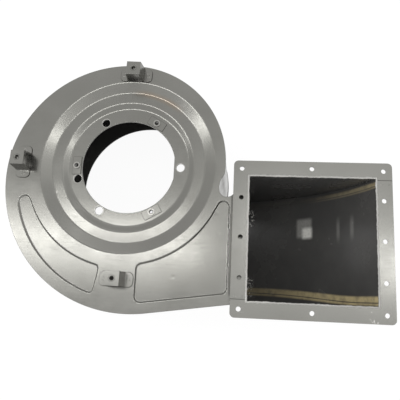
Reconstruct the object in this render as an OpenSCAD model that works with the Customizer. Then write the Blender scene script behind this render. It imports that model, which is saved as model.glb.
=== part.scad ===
// Centrifugal blower housing, welded up from pressed and rolled sheet steel.
// The scroll lies on its back plate with the fan axis upright at the origin.
// The air leaves to the right and an elbow turns it up into a square flange.

/* [Sheet] */
// Thickness of the housing's sheet
sheet = 2; // [1.5:0.1:2.5]
// How far the side plates stand out past the wrapper
lip = 1; // [0.5:0.1:2]

/* [Scroll] */
// Depth of the scroll over both side plates
depth = 190; // [170:1:220]
// Radius of the third and largest arc, down to the duct floor
scroll_r3 = 212; // [196:1:228]
// How much smaller the second arc is, on the far upper side
second_step = 20.5; // [18:0.5:23]
// How much smaller again the first arc is, which starts at the tongue
first_step = 27; // [24:0.5:30]
// Distance of the first arc's centre from the fan axis, along X and Y
eye_shift = 6.5; // [5:0.5:8]
// Rise of the duct floor towards the outlet, in degrees
floor_slope = 8.3; // [7:0.1:10]
// Distance from the first arc to the opening in the back plate
rear_margin = 38.5; // [33:0.5:50]

/* [Inlet] */
// Distance from the first arc to the upper step's rim
ring_margin = 22.5; // [21:0.5:26]
// Width of the upper step's slope
upper_slope_w = 17; // [14:0.5:20]
// Depth of the upper step
upper_drop = 6.5; // [4:0.5:8]
// Width of the flat between the two slopes
middle_flat_w = 17.5; // [15:0.5:19]
// Width of the lower step's slope
lower_slope_w = 9; // [6:0.5:10]
// Depth of the lower step
lower_drop = 4; // [2:0.5:6]
// Width of the flat ring between the lower step and the inlet
ring_w = 22; // [21.5:0.5:25]
// Depth of the flat cut off the inlet's right side
inlet_flat = 2; // [1:0.5:3]

/* [Inlet bolts] */
// Distance of the bolt circle from the inlet's edge
bolt_edge = 8.5; // [8:0.5:10]
// Bolts in the ring
inlet_bolts = 3; // [3]
// Diameter of the bolt holes
inlet_hole_d = 13; // [10:0.5:13]
// Angle of the single extra hole
extra_hole_angle = 195; // [194:1:200]
// Length of an anchor nut's plate, along the ring
anchor_l = 29; // [22:1:29]
// Width of an anchor nut's plate
anchor_w = 14; // [13:0.5:15]
// Thickness of an anchor nut's plate
anchor_t = 1.5; // [1:0.1:2]
// Height of an anchor nut's collar above its plate
anchor_collar_h = 2; // [1:0.5:4]
// Diameter of an anchor nut's collar
anchor_collar_d = 11; // [9:0.5:12]

/* [Stiffening panels] */
// How deep the two panels are pressed in
panel_drop = 2.5; // [1.5:0.1:3]
// Distance of the long panel from the scroll's edge
panel_margin = 21; // [18:1:24]
// Distance of the long panel's inner edge from the upper step's rim
long_panel_gap = 23; // [18:0.5:26]
// Angle where the long panel starts
panel_start_angle = 203; // [200:1:208]
// Angle where the long panel ends
panel_end_angle = 254; // [248:1:256]
// Distance of the corner panel's inner edge from the upper step's rim
corner_panel_ring_gap = 18; // [16:0.5:23]
// Angle where the corner panel's inner edge leaves that round
corner_panel_tip_angle = -28; // [-30:1:-26]
// Distance of the corner panel's left edge from the fan axis
corner_panel_x = 27; // [24:1:34]
// Distance of the corner panel's right edge from the outlet's inner side
corner_panel_gap = 31; // [29:1:36]
// Distance of the corner panel from the duct floor
corner_panel_floor = 18; // [15:1:22]

/* [Tongue] */
// Width of the slot between the scroll and the outlet
slot_w = 25; // [22:0.5:27]
// How far the slot cuts in behind the scroll's widest point
tongue_step = 9; // [7:0.5:11]
// Radius of the outward bend of the tongue
tongue_out_r = 15; // [12:0.5:17]
// Radius of the inward bend of the tongue
tongue_in_r = 25; // [21:0.5:28]
// Straight length of the tongue above the slot's round end
tongue_flat = 4; // [2:0.5:5]
// Length of the tongue sheet on the scroll, in degrees from the tongue
tongue_lap = 14; // [8:1:20]
// Radius of the bend from the slot up to the elbow's upper cheek
cheek_bend_r = 17; // [14:0.5:20]
// Straight length on either side of that bend
cheek_flat = 2.5; // [1:0.5:4]

/* [Outlet elbow] */
// Side of the square outlet
outlet = 187; // [176:1:196]
// Height of the outlet flange's face above the front plate
outlet_rise = 20; // [14:0.5:28]
// Radius of the rolled back sheet
elbow_r = 340; // [300:5:380]
// Depth of the throat strip below the front plate's face
throat_lip = 10; // [4:1:16]

/* [Outlet flange] */
// Width of the flange frame
flange_w = 24; // [22:0.5:26]
// Thickness of the flange frame
flange_t = 3; // [2:0.5:4]
// Radius of the flange's corners
flange_corner_r = 7; // [4:0.5:9]
// Distance of the corner and side holes from the flange's edge
hole_edge = 12.5; // [11:0.5:13]
// Distance between the side holes
bolt_pitch = 60; // [50:1:66]
// Distance of the top and bottom middle holes from the flange's edge
middle_hole_edge = 11; // [9.5:0.5:12.5]
// Diameter of the flange's holes
flange_hole_d = 7; // [5.5:0.5:8]
// Distance of the seam between the flange's two halves from the corner of the outlet
seam_gap = 2.5; // [1.5:0.5:6]

/* [Brackets] */
// Width of a bracket's raised face
bracket_face_w = 22.5; // [20:0.5:24]
// Width between a bracket's legs at the plate
bracket_base_w = 24.5; // [23:0.5:28]
// Length of a bracket over its two tabs
bracket_span = 52; // [48:1:56]
// Depth of a bracket
bracket_d = 22; // [17:0.5:23]
// Radius of the corners of a bracket's tabs
bracket_corner_r = 7; // [4:0.5:8]
// Height of a bracket's face above the plate
bracket_h = 29; // [20:1:34]
// Thickness of a bracket's strip
bracket_t = 2; // [1.5:0.1:3]
// Distance from the upper step's rim to the middle of the top bracket
bracket_top_gap = 11.5; // [11.5:0.5:16]
// Angle of the top bracket
bracket_top_angle = 88; // [80:0.5:100]
// Distance from the upper step's rim to the middle of the left bracket
bracket_left_gap = 28; // [12:0.5:40]
// Angle of the left bracket
bracket_left_angle = 179.5; // [170:0.5:185]
// Distance from the upper step's rim to the middle of the bottom bracket
bracket_bottom_gap = 39; // [33:0.5:48]
// Angle of the bottom bracket
bracket_bottom_angle = 269; // [268:0.5:270]

/* [Nuts] */
// Width across flats of a bracket's weld nut
nut_af = 13; // [11:0.5:14]
// Height of a weld nut
nut_h = 6.5; // [5:0.5:8]
// Diameter of a weld nut's pilot collar, which fills the face's hole
nut_collar_d = 10; // [9:0.1:10.5]
// Bore of the threads in a bracket's weld nut
bracket_bore_d = 6.6; // [5:0.1:6.8]
// Bore of the threads in an anchor nut
anchor_bore_d = 5; // [4.2:0.1:5.5]

/* [Hidden] */
$fn = 144;
eps = 0.01;

// Colours
paint = [0.56, 0.56, 0.53];
inside_paint = [0.16, 0.16, 0.15];
bare = [0.62, 0.60, 0.56];

// Heights
inner_z = sheet;
wall_h = depth - 2 * sheet;
step_z = depth - upper_drop;
ring_z = step_z - lower_drop;
flange_z = depth + outlet_rise - flange_t;

// The scroll is three arcs that meet on their quarter lines
scroll_r2 = scroll_r3 - second_step;
scroll_r1 = scroll_r2 - first_step;
centre_1 = [-eye_shift, eye_shift];
centre_2 = centre_1 + [0, scroll_r1 - scroll_r2];
centre_3 = centre_2 + [scroll_r3 - scroll_r2, 0];
// The duct floor leaves the third arc a hair inside its tangent
floor_tuck = 0.05;
floor_start = centre_3[0] + scroll_r3 / 3;
floor_overlap = scroll_r3 / 9;

// Rings round the fan axis
rear_r = scroll_r1 - rear_margin;
upper_out_r = scroll_r1 - ring_margin;
ring_lap_r = upper_out_r + sheet;
upper_in_r = upper_out_r - upper_slope_w;
lower_out_r = upper_in_r - middle_flat_w;
lower_in_r = lower_out_r - lower_slope_w;
inlet_r = lower_in_r - ring_w;
inlet_bolt_r = inlet_r + bolt_edge;
long_panel_r = upper_out_r + long_panel_gap;
corner_panel_r = upper_out_r + corner_panel_ring_gap;
bracket_top_r = upper_out_r + bracket_top_gap;
bracket_left_r = upper_out_r + bracket_left_gap;
bracket_bottom_r = upper_out_r + bracket_bottom_gap;

// Slot and outlet along X
slot_left = centre_1[0] + scroll_r1 - tongue_step;
slot_r = slot_w / 2;
slot_x = slot_left + slot_r;
slot_right = slot_left + slot_w;
cheek_bend_x = slot_right + cheek_bend_r;
throat_x = cheek_bend_x + cheek_flat;
outlet_x = throat_x + sheet;
outlet_cx = outlet_x + outlet / 2;

// Outlet and slot along Y
function floor_y(x, inset) = centre_3[1]
    - (scroll_r3 - floor_tuck - inset) / cos(floor_slope) + (x - centre_3[0]) * tan(floor_slope);
cheek_low = floor_y(throat_x, lip);
outlet_low = cheek_low + sheet;
outlet_high = outlet_low + outlet;
cheek_high = outlet_high + sheet;
outlet_cy = (outlet_low + outlet_high) / 2;
cheek_bend_y = cheek_high + lip - cheek_bend_r;
slot_y = cheek_bend_y - cheek_flat;

// The tongue leaves the first arc by an outward bend and meets the slot by an inward one
bend_in_centre = [slot_left + tongue_in_r, slot_y + tongue_flat];
bend_reach = norm(bend_in_centre - centre_1);
out_reach = scroll_r1 - tongue_out_r;
bends = tongue_out_r + tongue_in_r;
tongue_angle = atan2(bend_in_centre[1] - centre_1[1], bend_in_centre[0] - centre_1[0])
    + acos((bend_reach * bend_reach + out_reach * out_reach - bends * bends)
        / (2 * bend_reach * out_reach));
bend_out_centre = centre_1 + out_reach * [cos(tongue_angle), sin(tongue_angle)];
bend_angle = atan2(bend_in_centre[1] - bend_out_centre[1],
    bend_in_centre[0] - bend_out_centre[0]);
wrapper_end = tongue_angle + tongue_lap;

// Outlet flange
flange_outer = outlet + 2 * flange_w;
bolt_span = flange_outer - 2 * hole_edge;
middle_span = flange_outer - 2 * middle_hole_edge;

// The elbow's back is an arc from the back plate's edge to the flange
back_start = [throat_x, inner_z];
back_end = [outlet_x + outlet, flange_z];
back_chord = back_end - back_start;
back_len = norm(back_chord);
back_rise = sqrt(elbow_r * elbow_r - back_len * back_len / 4);
back_centre = (back_start + back_end) / 2
    + back_rise / back_len * [-back_chord[1], back_chord[0]];

// Points along an arc, both ends included
function arc(centre, r, from, to, steps = 12) =
    [for (i = [0 : steps]) let (a = from + (to - from) * i / steps)
        centre + r * [cos(a), sin(a)]];

function but_last(points) = [for (i = [0 : len(points) - 2]) points[i]];

function reversed(points) = [for (i = [len(points) - 1 : -1 : 0]) points[i]];

// A corner's rounding: p is the corner, a and b its neighbours, r the radius
function rounded_corner(a, p, b, r, steps = 6) =
    let (u = (a - p) / norm(a - p), v = (b - p) / norm(b - p),
        half = acos(u * v) / 2,
        centre = p + (u + v) / norm(u + v) * r / sin(half),
        s = p + u * r / tan(half) - centre,
        e = p + v * r / tan(half) - centre,
        a0 = atan2(s[1], s[0]),
        turn = atan2(e[1], e[0]) - a0,
        short = turn > 180 ? turn - 360 : turn < -180 ? turn + 360 : turn)
    arc(centre, r, a0, a0 + short, steps);

// The edge from the first arc down the tongue, round the slot and up to the throat
function tongue_path(inset) = concat(
    but_last(arc(centre_1, scroll_r1 - inset, wrapper_end, tongue_angle)),
    but_last(arc(bend_out_centre, tongue_out_r - inset, tongue_angle, bend_angle)),
    arc(bend_in_centre, tongue_in_r + inset, 180 + bend_angle, 180),
    arc([slot_x, slot_y], slot_r + inset, 180, 360, 36),
    arc([cheek_bend_x, cheek_bend_y], cheek_bend_r - inset, 180, 90, 18),
    [[throat_x, cheek_high + lip - inset]]);

// Outline shared by the two side plates
function plate_outline() = concat(
    tongue_path(0),
    [[throat_x, floor_y(throat_x, 0)]],
    but_last(arc(centre_3, scroll_r3, 270 + floor_slope, 180, 66)),
    but_last(arc(centre_2, scroll_r2, 180, 90, 60)),
    but_last(arc(centre_1, scroll_r1, 90, wrapper_end, 54)));

// Distance from the fan axis to a circle about another centre, along an angle
function reach(centre, r, a) =
    let (d = centre * [cos(a), sin(a)]) d + sqrt(d * d - centre * centre + r * r);

// The long panel lies between the third arc and the inlet, squared at its lower end
end_bulge = 13;
squared_power = 5;
rounded_power = 2.4;
end_steps = 16;
side_steps = 24;

function panel_end_points(a, bulge, power, r_in, r_out) =
    [for (i = [1 : end_steps - 1]) let (u = cos(i * 180 / end_steps),
        b = a + bulge * pow(1 - pow(abs(u), power), 1 / power),
        high = reach(centre_3, r_out, b))
        ((high + r_in) / 2 + u * (high - r_in) / 2) * [cos(b), sin(b)]];

function long_panel(grow) =
    let (r_out = scroll_r3 - panel_margin + grow, r_in = long_panel_r - grow,
        bulge = (end_bulge + grow) / long_panel_r * 180 / PI,
        turn = (panel_end_angle - panel_start_angle) / side_steps)
    concat(
        [for (i = [0 : side_steps]) let (a = panel_start_angle + i * turn)
            reach(centre_3, r_out, a) * [cos(a), sin(a)]],
        panel_end_points(panel_end_angle, bulge, squared_power, r_in, r_out),
        arc([0, 0], r_in, panel_end_angle, panel_start_angle, side_steps),
        reversed(panel_end_points(panel_start_angle, -bulge, rounded_power, r_in, r_out)));

// The corner panel fills the plate between the inlet, the duct floor and the outlet
panel_corner_r = 8;

function corner_panel(grow) =
    let (r = corner_panel_r - grow, left = corner_panel_x - grow,
        right = outlet_x - corner_panel_gap + grow,
        side = arc([0, 0], r, corner_panel_tip_angle, -acos(left / r)),
        first = side[0],
        last = side[len(side) - 1],
        low_left = [left, floor_y(left, corner_panel_floor - grow)],
        low_right = [right, floor_y(right, corner_panel_floor - grow)],
        tip = [right, (first * first - right * first[0]) / first[1]],
        corner_r = panel_corner_r + grow)
    concat(
        but_last(side),
        rounded_corner(side[len(side) - 2], last, low_left, corner_r),
        rounded_corner(last, low_left, low_right, corner_r),
        rounded_corner(low_left, low_right, tip, corner_r),
        rounded_corner(low_right, tip, first, corner_r));

// Both panels drawn out by grow, from z up by h
module panels(grow, z, h) {
    translate([0, 0, z]) linear_extrude(h) {
        polygon(long_panel(grow));
        polygon(corner_panel(grow));
    }
}

// The stepped ring round the inlet, pressed in towards the wheel
module inlet_steps() {
    rotate_extrude() polygon([
        [inlet_r - 2 * inlet_flat, ring_z], [lower_in_r, ring_z], [lower_out_r, step_z],
        [upper_in_r, step_z], [upper_out_r, depth], [ring_lap_r, depth],
        [ring_lap_r, depth - sheet], [upper_out_r, depth - sheet],
        [upper_in_r + sheet / 2, step_z - sheet], [lower_out_r + sheet / 2, step_z - sheet],
        [lower_in_r + sheet / 2, ring_z - sheet], [inlet_r - 2 * inlet_flat, ring_z - sheet]]);
}

module inlet_cut() {
    linear_extrude(depth) intersection() {
        circle(inlet_r);
        translate([-2 * inlet_r, -inlet_r]) square([3 * inlet_r - inlet_flat, 2 * inlet_r]);
    }
}

module ring_holes() {
    for (i = [0 : inlet_bolts - 1]) rotate(i * 360 / inlet_bolts) {
        translate([inlet_bolt_r, 0]) cylinder(d = inlet_hole_d, h = depth);
        rotate(180 / inlet_bolts) translate([inlet_bolt_r, 0])
            cylinder(d = anchor_bore_d, h = depth);
    }
    rotate(extra_hole_angle) translate([inlet_bolt_r, 0])
        cylinder(d = inlet_hole_d, h = depth);
}

module front_plate() {
    panel_z = depth - panel_drop;
    color(paint) difference() {
        union() {
            translate([0, 0, depth - sheet]) linear_extrude(sheet) difference() {
                polygon(plate_outline());
                circle(upper_out_r);
            }
            inlet_steps();
            panels(sheet, panel_z - sheet, panel_drop + eps);
        }
        inlet_cut();
        ring_holes();
        panels(0, panel_z, 2 * panel_drop);
    }
}

module back_plate() {
    color(paint) linear_extrude(sheet) difference() {
        polygon(plate_outline());
        circle(rear_r);
    }
}

// A quarter of a disc about centre, on the side that x and y point to
module quarter(centre, r, x, y) {
    intersection() {
        translate(centre) circle(r);
        translate(centre) scale([x, y]) square(2 * r);
    }
}

// The scroll's three arcs and the duct floor, drawn in by inset
module scroll_shape(inset) {
    quarter(centre_1, scroll_r1 - inset, 1, 1);
    quarter(centre_2, scroll_r2 - inset, -1, 1);
    intersection() {
        translate(centre_3) circle(scroll_r3 - inset);
        translate([floor_start - 2 * scroll_r3, centre_3[1] - scroll_r3])
            square([2 * scroll_r3, scroll_r3]);
    }
    polygon([
        centre_3, [centre_3[0], centre_3[1] - scroll_r3 / 2],
        [floor_start - floor_overlap, floor_y(floor_start - floor_overlap, inset)],
        [throat_x, floor_y(throat_x, inset)], [throat_x, centre_3[1]]]);
}

// Everything between the wrapper's two ends
module open_side() {
    polygon([
        centre_1, centre_1 + 2 * scroll_r1 * [cos(wrapper_end), sin(wrapper_end)],
        [throat_x + scroll_r1, outlet_low], [throat_x, outlet_low], centre_3]);
}

module scroll_wrapper() {
    color(paint) translate([0, 0, inner_z]) linear_extrude(wall_h) difference() {
        scroll_shape(lip);
        scroll_shape(lip + sheet);
        open_side();
    }
}

module tongue_sheet() {
    color(paint) translate([0, 0, inner_z]) linear_extrude(wall_h)
        polygon(concat(tongue_path(lip), reversed(tongue_path(lip + sheet))));
}

// Side view of the elbow inside a radius about the centre of its back
module elbow_side(r) {
    intersection() {
        translate(back_centre) circle(r);
        translate([throat_x, 0]) square([2 * outlet, flange_z]);
    }
}

// A side view stood up, w wide from y upwards
module stood_up(y, w) {
    translate([0, y + w, 0]) rotate([90, 0, 0]) linear_extrude(w) children();
}

module elbow_back() {
    color(inside_paint) stood_up(outlet_low, outlet) difference() {
        elbow_side(elbow_r + sheet);
        translate(back_centre) circle(elbow_r);
    }
}

module elbow_cheek_upper() {
    color(inside_paint) stood_up(outlet_high, sheet) elbow_side(elbow_r + sheet);
}

module elbow_cheek_lower() {
    color(inside_paint) stood_up(cheek_low, sheet) elbow_side(elbow_r + sheet);
}

module elbow_throat() {
    color(inside_paint) translate([throat_x, outlet_low, depth - throat_lip])
        cube([sheet, outlet, flange_z - depth + throat_lip]);
}

// Square plate with round corners, centred
module rounded_square(side, r) {
    for (x = [-1, 1], y = [-1, 1]) scale([x, y]) {
        translate([side / 2 - r, side / 2 - r]) circle(r);
        square([side / 2, side / 2 - r]);
        square([side / 2 - r, side / 2]);
    }
}

function flange_holes() = concat(
    [for (x = [-1, 1], y = [-bolt_span / 2, -bolt_pitch, 0, bolt_pitch, bolt_span / 2])
        [x * bolt_span / 2, y]],
    [for (y = [-1, 1]) [0, y * middle_span / 2]]);

// One half of the flange: a long arm to the left, one on top, and a stub at the far corner
module flange_half() {
    seam = outlet / 2 - seam_gap;
    difference() {
        linear_extrude(flange_t) difference() {
            intersection() {
                rounded_square(flange_outer, flange_corner_r);
                union() {
                    translate([-flange_outer / 2, -seam])
                        square([flange_outer / 2, flange_outer]);
                    translate([-flange_outer / 2, seam]) square(flange_outer);
                }
            }
            square(outlet, center = true);
        }
        for (p = flange_holes()) translate([p[0], p[1], -flange_t])
            cylinder(d = flange_hole_d, h = 3 * flange_t);
    }
}

module flange_upper() {
    color(paint) translate([outlet_cx, outlet_cy, flange_z]) flange_half();
}

module flange_lower() {
    color(paint) translate([outlet_cx, outlet_cy, flange_z]) rotate(180) flange_half();
}

// A hat-shaped strip bracket: two spot-welded tabs, two legs and a raised face
module bracket_blank() {
    half_face = bracket_face_w / 2;
    half_base = bracket_base_w / 2;
    half_span = bracket_span / 2;
    under = bracket_h - bracket_t;
    corner_x = half_span - bracket_corner_r;
    corner_y = bracket_d / 2 - bracket_corner_r;
    intersection() {
        stood_up(-bracket_d / 2, bracket_d) polygon([
            [-half_span, 0], [-half_base, 0], [-half_face + bracket_t, under],
            [half_face - bracket_t, under], [half_base, 0], [half_span, 0],
            [half_span, bracket_t], [half_base + bracket_t, bracket_t],
            [half_face, bracket_h], [-half_face, bracket_h],
            [-half_base - bracket_t, bracket_t], [-half_span, bracket_t]]);
        linear_extrude(bracket_h) union() {
            square([2 * corner_x, bracket_d], center = true);
            square([bracket_span, 2 * corner_y], center = true);
            for (x = [-corner_x, corner_x], y = [-corner_y, corner_y])
                translate([x, y]) circle(bracket_corner_r);
        }
    }
}

// Puts children on the front plate, r from the fan axis, with the tabs across the radius
module on_plate(r, angle) {
    rotate(angle) translate([r, 0, depth]) rotate(90) children();
}

module bracket() {
    color(paint) difference() {
        bracket_blank();
        translate([0, 0, bracket_h - 2 * bracket_t])
            cylinder(d = nut_collar_d, h = 3 * bracket_t);
    }
}

module bracket_top() {
    on_plate(bracket_top_r, bracket_top_angle) bracket();
}

module bracket_left() {
    on_plate(bracket_left_r, bracket_left_angle) bracket();
}

module bracket_bottom() {
    on_plate(bracket_bottom_r, bracket_bottom_angle) bracket();
}

// A hexagon weld nut under a bracket's face, with a collar that fills the hole
module weld_nut() {
    translate([0, 0, bracket_h - bracket_t - nut_h]) difference() {
        union() {
            cylinder(d = nut_af / cos(30), h = nut_h, $fn = 6);
            translate([0, 0, nut_h - eps]) cylinder(d = nut_collar_d, h = bracket_t + eps);
        }
        translate([0, 0, -nut_h]) cylinder(d = bracket_bore_d, h = 3 * nut_h);
    }
}

module bracket_nuts() {
    color(bare) {
        on_plate(bracket_top_r, bracket_top_angle) weld_nut();
        on_plate(bracket_left_r, bracket_left_angle) weld_nut();
        on_plate(bracket_bottom_r, bracket_bottom_angle) weld_nut();
    }
}

module anchor_nut() {
    difference() {
        union() {
            translate([-anchor_w / 2, -anchor_l / 2]) cube([anchor_w, anchor_l, anchor_t]);
            cylinder(d = anchor_collar_d, h = anchor_t + anchor_collar_h);
        }
        translate([0, 0, -anchor_t])
            cylinder(d = anchor_bore_d, h = 3 * anchor_t + anchor_collar_h);
    }
}

module inlet_anchor_nuts() {
    color(paint) for (i = [0 : inlet_bolts - 1]) rotate((i + 0.5) * 360 / inlet_bolts)
        translate([inlet_bolt_r, 0, ring_z]) anchor_nut();
}

front_plate();
back_plate();
scroll_wrapper();
tongue_sheet();
elbow_back();
elbow_cheek_upper();
elbow_cheek_lower();
elbow_throat();
flange_upper();
flange_lower();
bracket_top();
bracket_left();
bracket_bottom();
bracket_nuts();
inlet_anchor_nuts();
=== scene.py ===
"""Looks of a centrifugal blower housing, welded up from pressed and rolled sheet steel.

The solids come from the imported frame. This script models the pressed front plate with its
rounded bends, rounds the edges of the small sheet parts, lays the weld beads, and gives every
surface its paint. Sizes are in millimetres and become metres when a mesh is finished.
"""

from __future__ import annotations

import logging
import math
import random
from collections.abc import Iterable, Iterator, Sequence
from dataclasses import dataclass
from enum import Enum

import bmesh
import bpy
from mathutils import Matrix, Vector


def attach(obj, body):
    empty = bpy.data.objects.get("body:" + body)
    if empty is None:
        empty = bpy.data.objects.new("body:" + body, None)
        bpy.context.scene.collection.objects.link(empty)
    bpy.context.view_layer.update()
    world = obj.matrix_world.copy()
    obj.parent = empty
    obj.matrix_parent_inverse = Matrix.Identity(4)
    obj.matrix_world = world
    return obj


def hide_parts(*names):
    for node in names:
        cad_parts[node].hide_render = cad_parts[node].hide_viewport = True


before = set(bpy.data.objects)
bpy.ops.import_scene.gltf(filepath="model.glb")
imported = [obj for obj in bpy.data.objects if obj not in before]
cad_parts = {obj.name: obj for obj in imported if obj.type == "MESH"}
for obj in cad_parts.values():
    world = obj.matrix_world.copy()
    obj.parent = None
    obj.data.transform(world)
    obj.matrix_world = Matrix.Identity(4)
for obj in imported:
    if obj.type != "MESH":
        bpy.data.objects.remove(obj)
log = logging.getLogger("blower_housing")

MM = 0.001
BODY = "root"

# Where the inlet's holes and nuts and the brackets sit: radius in millimetres, angle in degrees.
BOLT_CIRCLE_R = 85.0
BOLT_ANGLES = (0.0, 120.0, 240.0)
EXTRA_BOLT_ANGLE = 195.0
ANCHOR_ANGLES = (60.0, 180.0, 300.0)
BRACKET_PLACES = {
    "bracket_top": (153.5, 88.0), "bracket_left": (170.0, 179.5), "bracket_bottom": (181.0, 269.0)}

Colour = tuple[float, float, float]
Point = tuple[float, float]
Span = tuple[float, float]
Stripe = tuple[float, float, float]
Place = tuple[float, float, float] | Vector
Socket = bpy.types.NodeSocket


class Outer(Enum):
    """Which faces of a sheet are its painted outer ones, as weights on the way out from a centre."""

    UNDERSIDE = (0.0, 0.0, 1.0)
    AWAY_FROM_AXIS = (1.0, 1.0, 0.0)
    TOWARDS_AXIS = (-1.0, -1.0, 0.0)
    AWAY_FROM_POINT = (1.0, 1.0, 1.0)


def metres(place: Place) -> tuple[float, ...]:
    """Return a place in metres."""
    return tuple(c * MM for c in place)


def polar(radius: float, angle: float, z: float = 0.0) -> Vector:
    """Return the point at a radius, an angle in degrees and a height."""
    return Vector((radius * math.cos(math.radians(angle)), radius * math.sin(math.radians(angle)), z))


class Nodes:
    """A small builder for one material's node tree."""

    def __init__(self, material: bpy.types.Material) -> None:
        """Empty the material's tree and keep it.

        Args:
            material: The material to build.
        """
        material.use_nodes = True
        self.tree = material.node_tree
        self.tree.nodes.clear()

    def add(self, kind: str, settings: dict | None = None, inputs: dict | None = None) -> bpy.types.Node:
        """Add a node.

        Args:
            kind: The node's type name.
            settings: Values for the node's own properties.
            inputs: Values or output sockets for its inputs, by name or index.

        Returns:
            The new node.
        """
        node = self.tree.nodes.new(kind)
        for name, value in (settings or {}).items():
            setattr(node, name, value)
        for name, value in (inputs or {}).items():
            if isinstance(value, Socket):
                self.tree.links.new(value, node.inputs[name])
            else:
                node.inputs[name].default_value = value
        return node

    def coordinates(self) -> Socket:
        """Return the object coordinates."""
        return self.add("ShaderNodeTexCoord").outputs["Object"]

    def along(self, axis: str) -> Socket:
        """Return the object coordinate along X, Y or Z."""
        return self.add("ShaderNodeSeparateXYZ", None, {0: self.coordinates()}).outputs[axis]

    def math(self, operation: str, first: Socket | float, second: Socket | float = 0.0) -> Socket:
        """Return the result of a Math node.

        Args:
            operation: The operation's name.
            first: Its first value or socket.
            second: Its second value or socket.

        Returns:
            The result's socket.
        """
        node = self.add("ShaderNodeMath", {"operation": operation}, {0: first, 1: second})
        return node.outputs[0]

    def times(self, product: Socket, *others: Socket | float) -> Socket:
        """Return the product of some values.

        Args:
            product: The first value.
            others: The values that it is multiplied by, in turn.

        Returns:
            The product.
        """
        for other in others:
            product = self.math("MULTIPLY", product, other)
        return product

    def vector(self, operation: str, first: Socket, second: Socket | tuple = (0, 0, 0)) -> Socket:
        """Return the result of a Vector Math node.

        Args:
            operation: The operation's name.
            first: Its first vector.
            second: Its second vector.

        Returns:
            The result: a number for a distance, a length or a dot product, and a vector otherwise.
        """
        node = self.add("ShaderNodeVectorMath", {"operation": operation}, {0: first, 1: second})
        is_number = operation in ("DISTANCE", "LENGTH", "DOT_PRODUCT")
        return node.outputs["Value" if is_number else "Vector"]

    def noise(self, scale: float, detail: float = 4.0, roughness: float = 0.5,
              vector: Socket | None = None) -> Socket:
        """Return a noise value on object coordinates.

        Args:
            scale: Noise cells in a metre.
            detail: Octaves.
            roughness: Weight of the finer octaves.
            vector: Coordinates other than the object's.

        Returns:
            The noise's factor.
        """
        where = vector or self.coordinates()
        node = self.add("ShaderNodeTexNoise", None,
                        {"Vector": where, "Scale": scale, "Detail": detail, "Roughness": roughness})
        return node.outputs[0]

    def ramp(self, value: Socket, low: float, high: float,
             out_low: float = 0.0, out_high: float = 1.0) -> Socket:
        """Map a value's range smoothly on another range.

        Args:
            value: The value.
            low: Where the input range starts.
            high: Where it ends.
            out_low: Result at low.
            out_high: Result at high.

        Returns:
            The mapped value.
        """
        node = self.add("ShaderNodeMapRange", {"interpolation_type": "SMOOTHSTEP"},
                        {0: value, 1: low, 2: high, 3: out_low, 4: out_high})
        return node.outputs[0]

    def mix(self, factor: Socket, first: Socket | Colour, second: Socket | Colour) -> Socket:
        """Mix two colours.

        Args:
            factor: The mix factor.
            first: Colour or socket at 0.
            second: Colour or socket at 1.

        Returns:
            The mixed colour.
        """
        node = self.add("ShaderNodeMix", {"data_type": "RGBA"})
        for index, value in ((0, factor), (6, first), (7, second)):
            if isinstance(value, Socket):
                self.tree.links.new(value, node.inputs[index])
            else:
                node.inputs[index].default_value = (*value, 1.0)
        return node.outputs[2]

    def tinted(self, colour: Socket, mask: Socket, share: float, tint: Colour) -> Socket:
        """Return a colour with a tint over it where a mask is 1.

        Args:
            colour: The colour.
            mask: Where the tint lies.
            share: How much of it covers there.
            tint: The tint's colour.

        Returns:
            The tinted colour.
        """
        return self.mix(self.math("MULTIPLY", mask, share), colour, tint)

    def bump(self, height: Socket, distance: float, strength: float, normal: Socket | None = None) -> Socket:
        """Return a bumped normal.

        Args:
            height: The height from 0 to 1.
            distance: The height's size in metres.
            strength: How much of it shows.
            normal: A normal to add to.

        Returns:
            The bumped normal.
        """
        inputs = {"Height": height, "Distance": distance, "Strength": strength}
        if normal is not None:
            inputs["Normal"] = normal
        return self.add("ShaderNodeBump", None, inputs).outputs[0]

    def stripe(self, value: Socket, middle: float, half: float, soft: float) -> Socket:
        """Return 1 where a coordinate is near a value, and 0 further away.

        Args:
            value: The coordinate.
            middle: The stripe's middle, in millimetres.
            half: Half its width.
            soft: The width of its soft edge.

        Returns:
            The mask.
        """
        away = self.math("ABSOLUTE", self.math("SUBTRACT", value, middle * MM))
        return self.ramp(away, half * MM, (half + soft) * MM, 1.0, 0.0)

    def spot(self, place: Place, radius: float, core: float = 0.3) -> Socket:
        """Return 1 at a place, falling to 0 at a distance.

        Args:
            place: The spot's middle, in millimetres.
            radius: Where it ends.
            core: The share of the radius that is full.

        Returns:
            The mask.
        """
        away = self.vector("DISTANCE", self.coordinates(), metres(place))
        return self.ramp(away, radius * core * MM, radius * MM, 1.0, 0.0)

    def ring(self, place: Place, radius: float, half: float, soft: float) -> Socket:
        """Return 1 at a distance from a place, falling to 0 inside and outside of it.

        Args:
            place: The ring's middle, in millimetres.
            radius: Its radius.
            half: Half its width.
            soft: The width of its soft edges.

        Returns:
            The mask.
        """
        away = self.vector("DISTANCE", self.coordinates(), metres(place))
        return self.stripe(away, radius, half, soft)

    def shaft(self, place: Place, radius: float, soft: float) -> Socket:
        """Return 1 inside an upright cylinder of any height.

        Args:
            place: A point on its axis, at height 0, in millimetres.
            radius: Its radius.
            soft: The width of its soft edge.

        Returns:
            The mask.
        """
        flat = self.vector("MULTIPLY", self.coordinates(), (1, 1, 0))
        away = self.vector("DISTANCE", flat, metres(place))
        return self.ramp(away, radius * MM, (radius + soft) * MM, 1.0, 0.0)

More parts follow.
